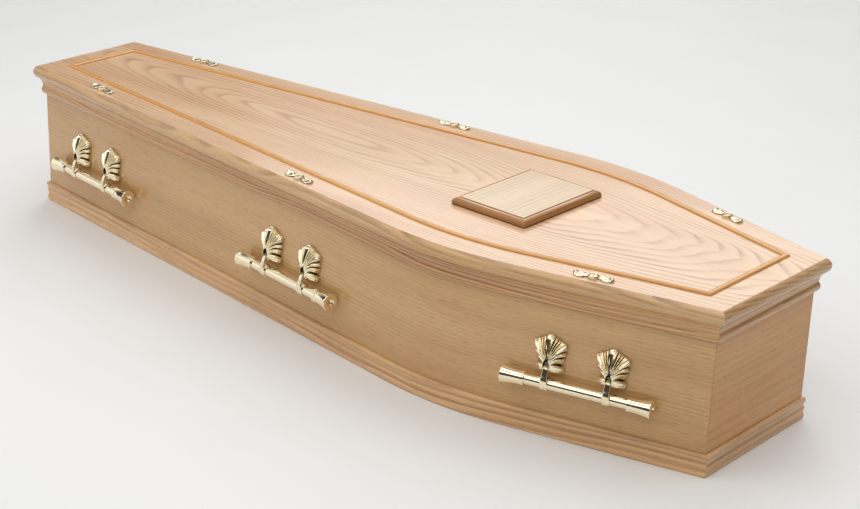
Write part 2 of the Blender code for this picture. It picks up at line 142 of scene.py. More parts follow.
def side_stock(point):
    """Where a point of a side length lay in its straight stock: along, out, up."""
    flat = Vector((point.x, -abs(point.y), 0.0))
    straight = (bend_start - foot_corner).length
    if (flat - bend_start).dot(foot_run) < 0:
        place = Vector(((flat - foot_corner).dot(foot_run), (flat - foot_corner).dot(foot_out)))
    elif (flat - bend_end).dot(head_run) > 0:
        past = (flat - bend_end).dot(head_run)
        place = Vector((straight + turn * BEND_RADIUS + past, (flat - bend_end).dot(head_out)))
    else:
        spoke = flat - bend_centre
        place = Vector((straight + foot_out.angle(spoke) * BEND_RADIUS, spoke.length - BEND_RADIUS))
    stock = Vector((place.x, place.y, point.z))
    return stock + OTHER_STOCK if point.y > 0 else stock


def lay_grain(bm, stock, faces=None):
    """Keeps where each face's corners lay in the straight stock, for the grain."""
    layer = bm.loops.layers.float_vector.get("stock") or bm.loops.layers.float_vector.new("stock")
    for face in faces or bm.faces:
        for corner in face.loops:
            corner[layer] = stock(corner.vert.co)


def finished(bm, name, looks, smooth_angle=25):
    """Makes a piece of a bmesh: closed, at the origin, with its faces pointing out."""
    bmesh.ops.remove_doubles(bm, verts=bm.verts, dist=0.000002)
    bmesh.ops.recalc_face_normals(bm, faces=bm.faces)
    mesh = bpy.data.meshes.new(name)
    bm.to_mesh(mesh)
    bm.free()
    mesh.shade_smooth()
    mesh.set_sharp_from_angle(angle=math.radians(smooth_angle))
    for look in looks:
        mesh.materials.append(look)
    piece = bpy.data.objects.new(name, mesh)
    bpy.context.scene.collection.objects.link(piece)
    return piece


def linear(colour):
    """A colour written as sRGB hex, as the linear values that a shader takes."""
    parts = [int(colour[place : place + 2], 16) / 255 for place in (1, 3, 5)]
    return tuple(p / 12.92 if p <= 0.04045 else ((p + 0.055) / 1.055) ** 2.4 for p in parts) + (1.0,)


def add_node(tree, kind, sockets=None, **settings):
    """Adds a node. A socket given as a value is linked to its place."""
    node = tree.nodes.new(kind)
    for setting, value in settings.items():
        setattr(node, setting, value)
    for place, value in (sockets or {}).items():
        if isinstance(value, bpy.types.NodeSocket):
            tree.links.new(value, node.inputs[place])
        else:
            node.inputs[place].default_value = value
    return node


def set_stops(ramp, stops):
    """Gives a colour ramp its stops, each a place and a grey or a hex colour."""
    elements = ramp.color_ramp.elements
    while len(elements) < len(stops):
        elements.new(0.5)
    for element, (place, value) in zip(elements, stops):
        element.position = place
        element.color = linear(value) if isinstance(value, str) else (value, value, value, 1.0)


# How dark a year is, from its open early wood to its dense late wood
FINE_RINGS = ((0.0, 1.0), (0.10, 0.85), (0.34, 0.30), (0.75, 0.06), (0.97, 0.10), (1.0, 1.0))


def oak(name, pale, dark, tint, ring, heart, bow=0.0, bow_at=0.0, wander=0.02, contrast=0.8,
        roughness=0.3, gleam=0.5, coat=0.35, gloss=0.09, rays=0.0, pores=0.10, rings=FINE_RINGS,
        turned=None):
    """Lacquered oak, sliced from a log whose heart runs along the stock's length.

    The year rings are ring wide and drawn round the heart, which lies at
    heart = (out, up) from the stock's corner and bows away from bow_at, so
    that flat-cut faces show arches and quartered faces show straight lines.
    wander is how far the rings stray, and contrast how dark they are. gleam is
    the wood's own specular level under a lacquer of weight coat and roughness
    gloss. rays and pores are how much those show. turned is the turn from the
    object's axes to the stock's, for a piece without laid grain.
    """
    material = bpy.data.materials.new(name)
    material.use_nodes = True
    tree = material.node_tree
    tree.nodes.clear()
    if turned is None:
        stock = add_node(tree, "ShaderNodeAttribute", attribute_name="stock").outputs["Vector"]
    else:
        object_place = add_node(tree, "ShaderNodeTexCoord").outputs["Object"]
        turning = {"Vector": object_place, "Rotation": turned}
        stock = add_node(tree, "ShaderNodeMapping", turning).outputs["Vector"]
    axes = add_node(tree, "ShaderNodeSeparateXYZ", {"Vector": stock})

    def noise(stretch, detail=2.0, roughness=0.5):
        """Noise whose three features are so many to the metre along, out and up."""
        scaled = add_node(tree, "ShaderNodeVectorMath", {0: stock, 1: stretch}, operation="MULTIPLY")
        sockets = {"Vector": scaled.outputs[0], "Scale": 1.0, "Detail": detail, "Roughness": roughness}
        return add_node(tree, "ShaderNodeTexNoise", sockets).outputs["Fac"]

    def maths(operation, first, second=0.0, third=0.0):
        """One step of arithmetic."""
        sockets = {0: first, 1: second, 2: third}
        return add_node(tree, "ShaderNodeMath", sockets, operation=operation).outputs[0]

    # How far each place is from the log's heart, with the wander of a grown tree
    from_bow = maths("SUBTRACT", axes.outputs["X"], bow_at)
    bowed = maths("MULTIPLY_ADD", maths("MULTIPLY", from_bow, from_bow), bow, axes.outputs["Z"])
    beside = maths("SUBTRACT", axes.outputs["Y"], heart[0])
    above = maths("SUBTRACT", bowed, heart[1])
    squares = maths("ADD", maths("MULTIPLY", beside, beside), maths("MULTIPLY", above, above))
    slow = maths("SUBTRACT", noise((1.3, 4.0, 4.0), 2.0), 0.5)
    quick = maths("SUBTRACT", noise((5.0, 28.0, 28.0), 2.0), 0.5)
    distance = maths("MULTIPLY_ADD", slow, wander * 2, maths("SQRT", squares))
    distance = maths("MULTIPLY_ADD", quick, wander * 0.10, distance)
    year = maths("FRACT", maths("DIVIDE", distance, ring))
    early = add_node(tree, "ShaderNodeValToRGB", {"Fac": year})
    set_stops(early, rings)
    # Some years are darker than others, and a band of them fades along the board
    some_years = maths("MULTIPLY_ADD", noise((1.1, 20.0, 20.0), 2.0), 2.6, -0.80)
    depth = add_node(tree, "ShaderNodeClamp", {"Value": some_years, "Min": 0.10, "Max": 1.0}).outputs[0]
    streak = maths("MULTIPLY", maths("MULTIPLY", early.outputs["Color"], depth), contrast)

    patches = add_node(tree, "ShaderNodeMapRange", {
        "Value": noise((1.6, 9.0, 9.0), 2.0), "From Min": 0.38, "From Max": 0.66, "To Max": 0.75})
    ground = add_node(tree, "ShaderNodeMix", {
        0: patches.outputs[0], 6: linear(pale), 7: linear(tint)}, data_type="RGBA")
    grained = add_node(tree, "ShaderNodeMix", {
        0: streak, 6: ground.outputs[2], 7: linear(dark)}, data_type="RGBA")
    # Fibres 3 mm wide and pores 1.3 mm wide, both coarser than life so that they show
    fibre = add_node(tree, "ShaderNodeMapRange", {
        "Value": noise((9.0, 330.0, 330.0), 3.0, 0.6), "From Min": 0.3, "From Max": 0.7,
        "To Min": 0.90, "To Max": 1.08})
    fibred = add_node(tree, "ShaderNodeVectorMath", {
        0: grained.outputs[2], 1: fibre.outputs[0]}, operation="MULTIPLY")
    pore = add_node(tree, "ShaderNodeMapRange", {
        "Value": noise((38.0, 800.0, 800.0), 1.0), "From Min": 0.56, "From Max": 0.72})
    early_pores = maths("MULTIPLY_ADD", early.outputs["Color"], 0.35, pores)
    pore_depth = maths("MULTIPLY", pore.outputs[0], early_pores)
    pored = add_node(tree, "ShaderNodeMix", {
        0: pore_depth, 6: fibred.outputs[0], 7: linear(dark)}, data_type="RGBA")
    # Medullary rays, pale flecks across the grain where the board is quartered
    fleck = add_node(tree, "ShaderNodeMapRange", {
        "Value": noise((120.0, 30.0, 26.0), 1.0), "From Min": 0.62, "From Max": 0.74})
    flecked = add_node(tree, "ShaderNodeMix", {
        0: maths("MULTIPLY", fleck.outputs[0], rays), 6: pored.outputs[2], 7: linear(pale)},
        data_type="RGBA")

    sheen = add_node(tree, "ShaderNodeMapRange", {
        "Value": noise((14.0, 90.0, 90.0), 2.0), "To Min": roughness * 0.85, "To Max": roughness * 1.15})
    height = maths("SUBTRACT", maths("MULTIPLY", fibre.outputs[0], 0.5), pore_depth)
    bump = add_node(tree, "ShaderNodeBump", {"Strength": 0.25, "Distance": 0.0004, "Height": height})
    shader = add_node(tree, "ShaderNodeBsdfPrincipled", {
        "Base Color": flecked.outputs[2], "Roughness": sheen.outputs[0], "Normal": bump.outputs[0],
        "IOR": 1.5, "Specular IOR Level": gleam, "Coat Weight": coat, "Coat Roughness": gloss})
    add_node(tree, "ShaderNodeOutputMaterial", {"Surface": shader.outputs[0]})
    return material


# Rift-cut oak veneer under satin lacquer: fine straight lines, mid tan
side_oak = oak(
    "oak_veneer_rift_cut", pale="#D6AB76", dark="#7D5430", tint="#C2955F", ring=0.0080,
    heart=(-0.12, -0.62), bow=0.02, bow_at=1.0, wander=0.020, contrast=0.30, gleam=0.1, coat=1.0,
    gloss=0.05, rays=0.10, pores=0.20,
)
side_section = ((-SIDE_THICKNESS, 0.0), (0.0, 0.0), (0.0, SIDE_HEIGHT), (-SIDE_THICKNESS, SIDE_HEIGHT))
left = side_length_of(side_section)
right = other_side(left)
for side, bm in (("left", left), ("right", right)):
    lay_grain(bm, side_stock)
    board = finished(bm, f"bent_side_{side}", [side_oak])
    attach(board, "coffin")
    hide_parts(f"side_board_{side}")


# End panels and base board. Flat veneered boards, mitred to the sides at the
# head and foot, with the grain running across, and the base let in between.
panel_oak = oak(
    "oak_veneer_quarter_cut", pale="#DCA56A", dark="#8F5A30", tint="#CA8E54", ring=0.0080,
    heart=(-0.3, -0.55), wander=0.014, contrast=0.30, gleam=0.2, rays=0.5, pores=0.16,
    turned=(0, 0, math.pi / 2),
)
base_oak = oak(
    "oak_veneer_base", pale="#BC9566", dark="#86623F", tint="#A98660", ring=0.007,
    heart=(0.02, -0.30), wander=0.015, contrast=0.5, turned=(0, 0, 0),
)
for node, look in (("head_panel", panel_oak), ("foot_panel", panel_oak), ("base_board", base_oak)):
    frame["nodes"][node].data.materials.clear()
    frame["nodes"][node].data.materials.append(look)


# Mouldings. Solid oak lengths, run through a spindle moulder, bent round the
# shoulders, mitred and pinned: a bead and cove under the lid, and a reeded
# plinth round the foot of the boards.
def arc(centre, radius, start, end, steps):
    """Places on a round stretch of a section, from one angle to another in degrees."""
    places = []
    for step in range(steps + 1):
        angle = math.radians(start + (end - start) * step / steps)
        places.append((centre[0] + radius * math.cos(angle), centre[1] + radius * math.sin(angle)))
    return places


def end_length_of(section, at_head):
    """A section run across an end of the coffin, and mitred at both ends."""
    bm = bmesh.new()
    corner, mitre = (head_corner, head_mitre) if at_head else (foot_corner, foot_mitre)
    outward = 1 if at_head else -1
    reach = abs(corner.y) + SPARE_LENGTH
    start = Vector((corner.x, -reach, 0.0))
    edges = section_wire(bm, section, lambda out, up: start + Vector((outward * out, 0.0, up)))
    pulled(bm, edges, Vector((0.0, 2 * reach, 0.0)))
    for side in (1, -1):
        place = Vector((corner.x, corner.y * side, 0.0))
        normal = Vector((-mitre.x, -mitre.y * side, 0.0))
        sawn(bm, place - normal * MITRE_JOINT, normal)
    return bm


END_STOCK_START = 3.1


def end_stock(point):
    """Where a point of an end length lay in its stock: along, out, up."""
    return Vector((point.y + END_STOCK_START, abs(point.x) - BODY_LENGTH / 2, point.z))


def four_lengths(stem, section, look, node_stem):
    """A moulding's left, right, head and foot lengths."""
    left = side_length_of(section)
    lengths = {"left": left, "right": other_side(left)}
    lengths["head"] = end_length_of(section, True)
    lengths["foot"] = end_length_of(section, False)
    for place, bm in lengths.items():
        lay_grain(bm, side_stock if place in ("left", "right") else end_stock)
        piece = finished(bm, f"{stem}_{place}", [look])
        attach(piece, "coffin")
        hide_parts(f"{node_stem}_{place}")


BACK_GAP = 0.0002
TOP_MOULDING_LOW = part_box("top_moulding_left")[0].z
BEAD_RADIUS = 0.0124
BEAD_OUT = 0.0089
BEAD_RISE = 0.0097
COVE_RADIUS = 0.0240
COVE_OUT = 0.0058
COVE_RISE = 0.0204
COVE_LOW = TOP_MOULDING_LOW + COVE_RISE
bead_centre = (BEAD_OUT - BEAD_RADIUS, TOP_MOULDING_LOW + BEAD_RISE)
cove_centre = (COVE_OUT + COVE_RADIUS, COVE_LOW)
cove_end = 180 - math.degrees(math.asin((SIDE_HEIGHT - COVE_LOW) / COVE_RADIUS))
top_section = (
    [(BACK_GAP, TOP_MOULDING_LOW)]
    + arc(bead_centre, BEAD_RADIUS, -49, 45, 10)
    + arc(cove_centre, COVE_RADIUS, 180, cove_end, 8)
    + [(BACK_GAP, SIDE_HEIGHT)]
)
# Flat-sawn solid oak: the cut face opens the rings in long dark streaks
BROAD_RINGS = (
    (0.0, 0.85), (0.10, 1.0), (0.30, 0.70), (0.52, 0.20), (0.82, 0.04), (0.94, 0.12), (1.0, 0.85),
)
moulding_oak = oak(
    "oak_moulding_flat_sawn", pale="#E0B27C", dark="#7F4620", tint="#CE9A62", ring=0.0068,
    heart=(-0.045, 0.10), wander=0.036, contrast=0.90, roughness=0.26, rings=BROAD_RINGS,
)
four_lengths("bead_moulding", top_section, moulding_oak, "top_moulding")

PLINTH_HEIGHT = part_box("base_moulding_left")[1].z
NOSE_RADIUS = 0.0048
NOSE_OUT = 0.0072
FLUTE_RADIUS = 0.0111
FLUTE_BOTTOM = 0.0046
FLUTE_DROPS = (0.0293, 0.0160)
TOE_OUT = 0.0048
TOE_RADIUS = 0.0034
TOE_CENTRE = (0.0030, 0.0038)
plinth_section = [(BACK_GAP, 0.0), (TOE_OUT, 0.0)] + arc(TOE_CENTRE, TOE_RADIUS, -50, 20, 4)
for drop in FLUTE_DROPS:
    middle = PLINTH_HEIGHT - drop
    plinth_section += arc((FLUTE_BOTTOM + FLUTE_RADIUS, middle), FLUTE_RADIUS, 213, 147, 8)
nose_centre = (NOSE_OUT - NOSE_RADIUS, PLINTH_HEIGHT - NOSE_RADIUS)
plinth_section += arc(nose_centre, NOSE_RADIUS, -28, 86, 9) + [(BACK_GAP, PLINTH_HEIGHT)]
# Its colours are paler than the bead moulding's, as painted light for the stronger light low on the
# coffin
plinth_oak = oak(
    "oak_plinth_rift_sawn", pale="#E8BC88", dark="#8C5730", tint="#D6A672", ring=0.0120,
    heart=(-0.16, -0.20), wander=0.030, contrast=0.60, roughness=0.26, rings=BROAD_RINGS,
)
four_lengths("plinth_moulding", plinth_section, plinth_oak, "base_moulding")


# Lid. A flat board faced with crown-cut oak veneer, wider than the body all
# round, with solid oak lipping worked to a shallow bullnose.
lid_low, lid_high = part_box("lid_board")
LID_OVERHANG = lid_high.x - BODY_LENGTH / 2
NOSE_DEPTH = 0.009
NOSE_STEPS = 8
ARRIS = 0.0004
lid_half = (lid_high.z - lid_low.z) / 2
lid_middle = (lid_high.z + lid_low.z) / 2


def plan_face(bm, offset, height):
    """The coffin's plan as one flat face, moved outwards by the offset."""
    foot = foot_corner + foot_out * offset
    foot -= foot_run * (foot.x + BODY_LENGTH / 2 + offset) / foot_run.x
    head = head_corner + head_out * offset
    head += head_run * (BODY_LENGTH / 2 + offset - head.x) / head_run.x
    rise = UP * height
    corner = bm.verts.new(foot + rise)
    bend = bm.verts.new(bend_start + foot_out * offset + rise)
    bm.edges.new((corner, bend))
    spun = bmesh.ops.spin(
        bm, geom=[bend], cent=bend_centre, axis=UP, dvec=(0, 0, 0), angle=turn, steps=BEND_STEPS
    )
    last = parts_of(spun["geom_last"], bmesh.types.BMVert)[0]
    bm.edges.new((last, bm.verts.new(head + rise)))
    near = bm.verts[:] + bm.edges[:]
    bmesh.ops.mirror(bm, geom=near, axis="Y", merge_dist=0.0)
    bm.verts.ensure_lookup_table()
    ends = [point for point in bm.verts if len(point.link_edges) == 1]
    for end in (min, max):
        x = end(point.co.x for point in ends)
        bm.edges.new([point for point in ends if abs(point.co.x - x) < 0.001])
    return bmesh.ops.contextual_create(bm, geom=bm.edges[:])["faces"][0]


def stepped_in(bm, face, steps):
    """Insets a face again and again, each time by (inwards, upwards)."""
    for inwards, upwards in steps:
        bmesh.ops.inset_region(
            bm, faces=[face], thickness=inwards, depth=upwards, use_even_offset=True, use_boundary=True
        )


nose_radius = (lid_half**2 + NOSE_DEPTH**2) / (2 * NOSE_DEPTH)
nose_reach = math.asin(lid_half / nose_radius)
nose_places = []
for step in range(NOSE_STEPS + 1):
    angle = nose_reach * step / NOSE_STEPS
    nose_places.append((nose_radius * math.cos(angle), nose_radius * math.sin(angle)))
nose_steps = [(a[0] - b[0], b[1] - a[1]) for a, b in zip(nose_places, nose_places[1:])]
nose_steps[-1] = (nose_steps[-1][0] + ARRIS * 0.3, nose_steps[-1][1] - ARRIS)
lid = bmesh.new()
top_face = plan_face(lid, LID_OVERHANG, lid_middle)
if top_face.normal.z < 0:
    top_face.normal_flip()
stepped_in(lid, top_face, nose_steps + [(ARRIS, ARRIS)])
bmesh.ops.bisect_plane(
    lid, geom=lid.verts[:] + lid.edges[:] + lid.faces[:], plane_co=(0, 0, lid_middle), plane_no=UP
)
bmesh.ops.mirror(
    lid, geom=lid.verts[:] + lid.edges[:] + lid.faces[:], axis="Z", merge_dist=0.00001,
    matrix=Matrix.Translation((0, 0, -lid_middle)),
)
lid.normal_update()
flat_faces = [face for face in lid.faces if abs(face.normal.z) > 0.98]
lay_grain(lid, Vector, flat_faces)
for face in lid.faces:
    if face not in flat_faces:
        face.material_index = 1
        lay_grain(lid, end_stock if abs(face.normal.x) > 0.6 else side_stock, [face])
# In veneer the late wood is a narrow line
SHARP_RINGS = (
    (0.0, 0.70), (0.06, 1.0), (0.20, 0.60), (0.38, 0.22), (0.70, 0.05), (0.93, 0.08), (1.0, 0.70),
)
# Crown-cut veneer: pale pinkish oak with arches that open from the middle
lid_oak = oak(
    "oak_veneer_crown_cut", pale="#EDCAA2", dark="#A45E3C", tint="#E1B48B", ring=0.0090,
    heart=(0.015, 0.27), bow=0.10, bow_at=-0.20, wander=0.040, contrast=0.74, roughness=0.30,
    rings=SHARP_RINGS,
)
lipping_oak = oak(
    "oak_lipping_flat_sawn", pale="#DFB887", dark="#784620", tint="#CE9F68", ring=0.0066,
    heart=(-0.03, 0.27), bow=0.03, bow_at=0.9, wander=0.036, contrast=0.90, roughness=0.28,
    rings=BROAD_RINGS,
)
lid_piece = finished(lid, "lid_with_lipping", [lid_oak, lipping_oak], smooth_angle=22)
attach(lid_piece, "coffin")
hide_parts("lid_board")


# Lid strips. Thin half-round oak beading, glued and pinned flat on the lid a
# little way in from its edge, and mitred at the four corners.
strip_low, strip_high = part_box("lid_strip_head")
STRIP_WIDTH = strip_high.x - strip_low.x
STRIP_HEIGHT = strip_high.z - strip_low.z
strip_middle = strip_high.x - STRIP_WIDTH / 2 - BODY_LENGTH / 2
STRIP_STEPS = 12
STRIP_FULLNESS = 0.8
strip_section = []
for step in range(STRIP_STEPS + 1):
    angle = math.pi * step / STRIP_STEPS
    out = strip_middle + STRIP_WIDTH / 2 * math.cos(angle)
    strip_section.append((out, strip_low.z + STRIP_HEIGHT * math.sin(angle) ** STRIP_FULLNESS))
strip_oak = oak(
    "oak_beading_oiled", pale="#E6AA5E", dark="#AD6C2C", tint="#DA9A4C", ring=0.004,
    heart=(-0.10, 0.26), wander=0.006, contrast=0.5, roughness=0.28,
)
four_lengths("half_round", strip_section, strip_oak, "lid_strip")


# Nameplate block. A stained bullnose frame with a pale flat panel set on it,
# its grain across the coffin; glued to the lid, and left bare.
plate_low, plate_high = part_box("nameplate")
PANEL_THICKNESS = 0.0014
EDGE_WIDTH = 0.0125
UNDERCUT = 0.0022
PANEL_ARRIS = 0.0003
edge_height = plate_high.z - plate_low.z - PANEL_THICKNESS
low_round = edge_height * 0.30


def cross_stock(point):
    """Where a point lay in stock that runs across the coffin: along, out, up."""
    return Vector((point.y + 2.0, point.x, point.z))


plate = bmesh.new()
bmesh.ops.create_grid(plate, x_segments=1, y_segments=1, size=0.5)
bmesh.ops.scale(plate, vec=plate_high - plate_low, verts=plate.verts)
middle = (plate_low + plate_high) / 2
bmesh.ops.translate(plate, vec=(middle.x, middle.y, plate_low.z), verts=plate.verts)
plate.faces.ensure_lookup_table()
top_face = plate.faces[0]
if top_face.normal.z < 0:
    top_face.normal_flip()
edge_steps = [(-UNDERCUT * 0.7, low_round * 0.35), (-UNDERCUT * 0.3, low_round * 0.65)]
edge_places = arc((0.0, 0.0), 1.0, 0, 90, 8)
for a, b in zip(edge_places, edge_places[1:]):
    edge_steps.append(((a[0] - b[0]) * EDGE_WIDTH * 0.8, (b[1] - a[1]) * (edge_height - low_round)))
edge_steps.append((EDGE_WIDTH * 0.2, 0.0))
stepped_in(plate, top_face, [(UNDERCUT, 0.0)] + edge_steps)
stepped_in(plate, top_face, [(0.0, PANEL_THICKNESS * 0.8), (PANEL_ARRIS, PANEL_THICKNESS * 0.2)])
for face in plate.faces:
    runs_across = abs(face.normal.y) < abs(face.normal.x) or face is top_face
    lay_grain(plate, cross_stock if runs_across else Vector, [face])
top_face.material_index = 1
bmesh.ops.edgeloop_fill(plate, edges=[edge for edge in plate.edges if edge.is_boundary])
edging_oak = oak(
    "oak_edging_stained", pale="#C48C4C", dark="#744319", tint="#AC763C", ring=0.005,
    heart=(-0.05, 0.30), wander=0.006, contrast=0.45, roughness=0.24,
)
panel_top_oak = oak(
    "oak_panel_pale", pale="#E2C6A0", dark="#AC8258", tint="#D8B890", ring=0.0110,
    heart=(0.9, 0.10), wander=0.016, contrast=0.60, roughness=0.30,
)
plate_piece = finished(plate, "nameplate_block", [edging_oak, panel_top_oak], smooth_angle=30)
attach(plate_piece, "coffin")
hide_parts("nameplate")


# Lid fittings. Six small ornate castings along the lid's edges, with leafed
# ends and a dished boss, in plated and polished brass.
def brass(name, bright, tarnish_and_shade_colour, roughness):
    """Polished pale brass plate on a casting: a little uneven, tarnished in blotches, rougher in its
    hollows, and darkened there and inside its slots with painted shade.
    """
    material = bpy.data.materials.new(name)
    material.use_nodes = True
    tree = material.node_tree
    tree.nodes.clear()
    place = add_node(tree, "ShaderNodeTexCoord").outputs["Object"]
    # Waves 15 mm long in the polish, and tarnish in blotches of 4 mm
    wave = add_node(tree, "ShaderNodeTexNoise", {"Vector": place, "Scale": 65.0, "Detail": 1.0})
    blotch = add_node(tree, "ShaderNodeTexNoise", {"Vector": place, "Scale": 250.0, "Detail": 3.0})
    # The painted shade laid on each piece: in hollows and grooves, and on the parts inside the slots
    hollow = add_node(tree, "ShaderNodeAttribute", attribute_name="hollow").outputs["Fac"]
    # Tarnish in blotches plus the painted shade: together they darken the colour towards the shaded
    # colour, and roughen it
    tarnish_and_shade = add_node(tree, "ShaderNodeMath", {0: blotch.outputs["Fac"], 1: 0.35, 2: hollow},
                    operation="MULTIPLY_ADD")
    shade = add_node(tree, "ShaderNodeMapRange", {
        "Value": tarnish_and_shade.outputs[0], "From Min": 0.20, "From Max": 1.5})
    colour = add_node(tree, "ShaderNodeMix", {
        0: shade.outputs[0], 6: linear(bright), 7: linear(tarnish_and_shade_colour)}, data_type="RGBA")
    rough = add_node(tree, "ShaderNodeMapRange", {
        "Value": tarnish_and_shade.outputs[0], "To Min": roughness, "To Max": roughness * 3})
    bump = add_node(tree, "ShaderNodeBump", {
        "Strength": 0.12, "Distance": 0.0005, "Height": wave.outputs["Fac"]})
    shader = add_node(tree, "ShaderNodeBsdfPrincipled", {
        "Base Color": colour.outputs[2], "Metallic": 1.0, "Roughness": rough.outputs[0],
        "Normal": bump.outputs[0]})
    add_node(tree, "ShaderNodeOutputMaterial", {"Surface": shader.outputs[0]})
    return material


def blend(low, high, value):
    """A soft step from 0 at low to 1 at high."""
    share = min(max((value - low) / (high - low), 0.0), 1.0)
    return share * share * (3 - 2 * share)


def sheet(bm, across, along, place):
    """A grid laid on a form. place takes two shares and gives a point and how much painted shade it
    gets.
    """
    hollow = bm.verts.layers.float.get("hollow") or bm.verts.layers.float.new("hollow")
    for point in bmesh.ops.create_grid(bm, x_segments=across, y_segments=along, size=0.5)["verts"]:
        spot, painted_shade_amount = place(point.co.x + 0.5, point.co.y + 0.5)
        point.co = spot
        point[hollow] = painted_shade_amount


def turned_part(bm, profile, steps, place, painted_shade_amount=0.0):
    """A turned form about the X axis from (along, radius) places, moved into place, with an even painted
    shade of the given amount.
    """
    hollow = bm.verts.layers.float.get("hollow") or bm.verts.layers.float.new("hollow")
    points = [bm.verts.new((along, 0.0, radius)) for along, radius in profile]
    edges = [bm.edges.new(pair) for pair in zip(points, points[1:])]
    bmesh.ops.spin(
        bm, geom=points + edges, cent=(0, 0, 0), axis=(1, 0, 0), dvec=(0, 0, 0),
        angle=math.tau, steps=steps, use_merge=True,
    )
    # The profile's own points and all that the spin joined to them
    whole = set(points)
    waiting = list(points)
    while waiting:
        for edge in waiting.pop().link_edges:
            for point in edge.verts:
                if point not in whole:
                    whole.add(point)
                    waiting.append(point)
    for point in whole:
        point[hollow] = painted_shade_amount
    bmesh.ops.transform(bm, matrix=place, verts=list(whole))


FITTING_LENGTH = 0.080
LEAF_BASE = 0.0010
LEAF_HEIGHT = 0.0036
LEAF_LOBES = 5.0
LOBE_DEPTH = 0.0012
NECK_HALF_WIDTH = 0.0044
LEAF_SWELL = 0.0054
LEAF_TAPER = 0.0040
VEIN_WAVES = 3.2
TIP_RISE = 0.0022
TIP_AT = 0.88
TIP_SPREAD = 0.07


def leaf_half_width(along):
    """Half the fitting's width at a share of its half length, with lobed edges."""
    leaf = NECK_HALF_WIDTH + LEAF_SWELL * blend(0.30, 0.58, along) - LEAF_TAPER * blend(0.74, 1.0, along)
    lobes = LOBE_DEPTH * abs(math.sin(LEAF_LOBES * math.pi * along)) * blend(0.25, 0.4, along)
    return leaf + lobes


def leaf_place(across, along):
    """The fitting's leafed top: two leaves from the boss, veined, with turned-up tips."""
    run = along * 2 - 1
    side = across * 2 - 1
    end = abs(run)
    width = leaf_half_width(end) * math.sqrt(max(1 - blend(0.9, 1.0, end), 0.0004))
    vein = math.cos(VEIN_WAVES * math.pi * side * (1 - 0.35 * end)) * 0.5 + 0.5
    ripple = math.sin(LEAF_LOBES * math.pi * end + abs(side) * 2.4) * 0.5 + 0.5
    crown = math.sqrt(max(1 - side * side, 0.0))
    tip = TIP_RISE * math.exp(-(((end - TIP_AT) / TIP_SPREAD) ** 2))
    height = crown * (LEAF_HEIGHT * (0.55 + 0.30 * vein + 0.25 * ripple) + tip)
    # Painted shade darkens the veins and the troughs of the ripples
    painted_shade_amount = (1 - vein) * 0.6 + (1 - ripple) * 0.3
    return Vector((run * FITTING_LENGTH / 2, side * width, max(height, 0.0))), painted_shade_amount


polished_brass = brass("brass_plated_casting", bright="#F9ECCC", tarnish_and_shade_colour="#655A40", roughness=0.045)
BOSS_RADIUS = 0.0106
DISH_RADIUS = 0.0082
boss_profile = [
    (0.0, DISH_RADIUS - 0.0004),
    (0.0, BOSS_RADIUS),
    (0.0036, BOSS_RADIUS),
    (0.0050, BOSS_RADIUS - 0.0003),
    (0.0058, BOSS_RADIUS - 0.0010),
    (0.0056, DISH_RADIUS + 0.0004),
    (0.0046, DISH_RADIUS - 0.0002),
    (0.0, DISH_RADIUS - 0.0004),
]
KNOB_RADIUS = 0.0030
KNOB_LOW = 0.0030
KNOB_HIGH = 0.0050
dish_profile = [
    (0.0, 0.0),
    (0.0, DISH_RADIUS),
    (0.0036, DISH_RADIUS),
    (0.0028, KNOB_RADIUS + 0.0010),
]
for angle in (0, 25, 50, 72, 90):
    rise = (KNOB_HIGH - KNOB_LOW) * math.sin(math.radians(angle))
    dish_profile.append((KNOB_LOW + rise, KNOB_RADIUS * math.cos(math.radians(angle))))
standing = Matrix.Rotation(-math.pi / 2, 4, "Y")
for side in ("left", "right"):
    for place in ("foot", "middle", "head"):
        node = f"lid_fitting_{side}_{place}"
        low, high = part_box(node)
        centre = (low + high) / 2
        run = head_run if place == "head" else foot_run
        heading = math.atan2(run.y, run.x) * (1 if side == "left" else -1)
        bm = bmesh.new()
        sheet(bm, 14, 72, leaf_place)
        bmesh.ops.remove_doubles(bm, verts=bm.verts, dist=0.00003)
        rim = [edge for edge in bm.edges if edge.is_boundary]
        bmesh.ops.edgeloop_fill(bm, edges=pulled(bm, rim, (0, 0, -LEAF_BASE)))
        bmesh.ops.translate(bm, verts=bm.verts, vec=(0, 0, LEAF_BASE))
        turned_part(bm, boss_profile, 36, standing)
        # The dish round the knob gets painted shade
        turned_part(bm, dish_profile, 36, standing, painted_shade_amount=0.7)
        upright = Matrix.Translation((centre.x, centre.y, low.z)) @ Matrix.Rotation(heading, 4, "Z")
        bmesh.ops.transform(bm, matrix=upright, verts=bm.verts)
        piece = finished(bm, f"wreath_holder_{side}_{place}", [polished_brass], smooth_angle=50)
        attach(piece, "coffin")
        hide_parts(node)


# Escutcheons. Twelve deep hollow shells, cast and plated, two to a handle.
# Each has fluted ribs that rise to a slot and a pin cast across inside it.
# The screws behind it that hold it to the board are not built.
def handle_place(side, place):
    """The axes of a handle: X along the board, -Y out of it, from the hinge's middle."""
    joint = next(j for j in frame["joints"] if j["name"] == f"handle_{side}_{place}_swing")
    along = -Vector(joint["axis"])
    inward = UP.cross(along)
    axes = Matrix((along, inward, UP)).transposed().to_4x4()
    return Matrix.Translation(joint["pos_m"]) @ axes


HINGE_DISTANCE = 0.0165
ARM_SPACING = 0.1228
SHELL_FRONT = 0.0245
SHELL_BROW = 0.0066
SHELL_WALL = 0.0020
BOARD_GAP = 0.0003
SLOT_HALF_WIDTH = 0.0062
SLOT_HALF_HEIGHT = 0.0108
SLOT_RISE = -0.0016
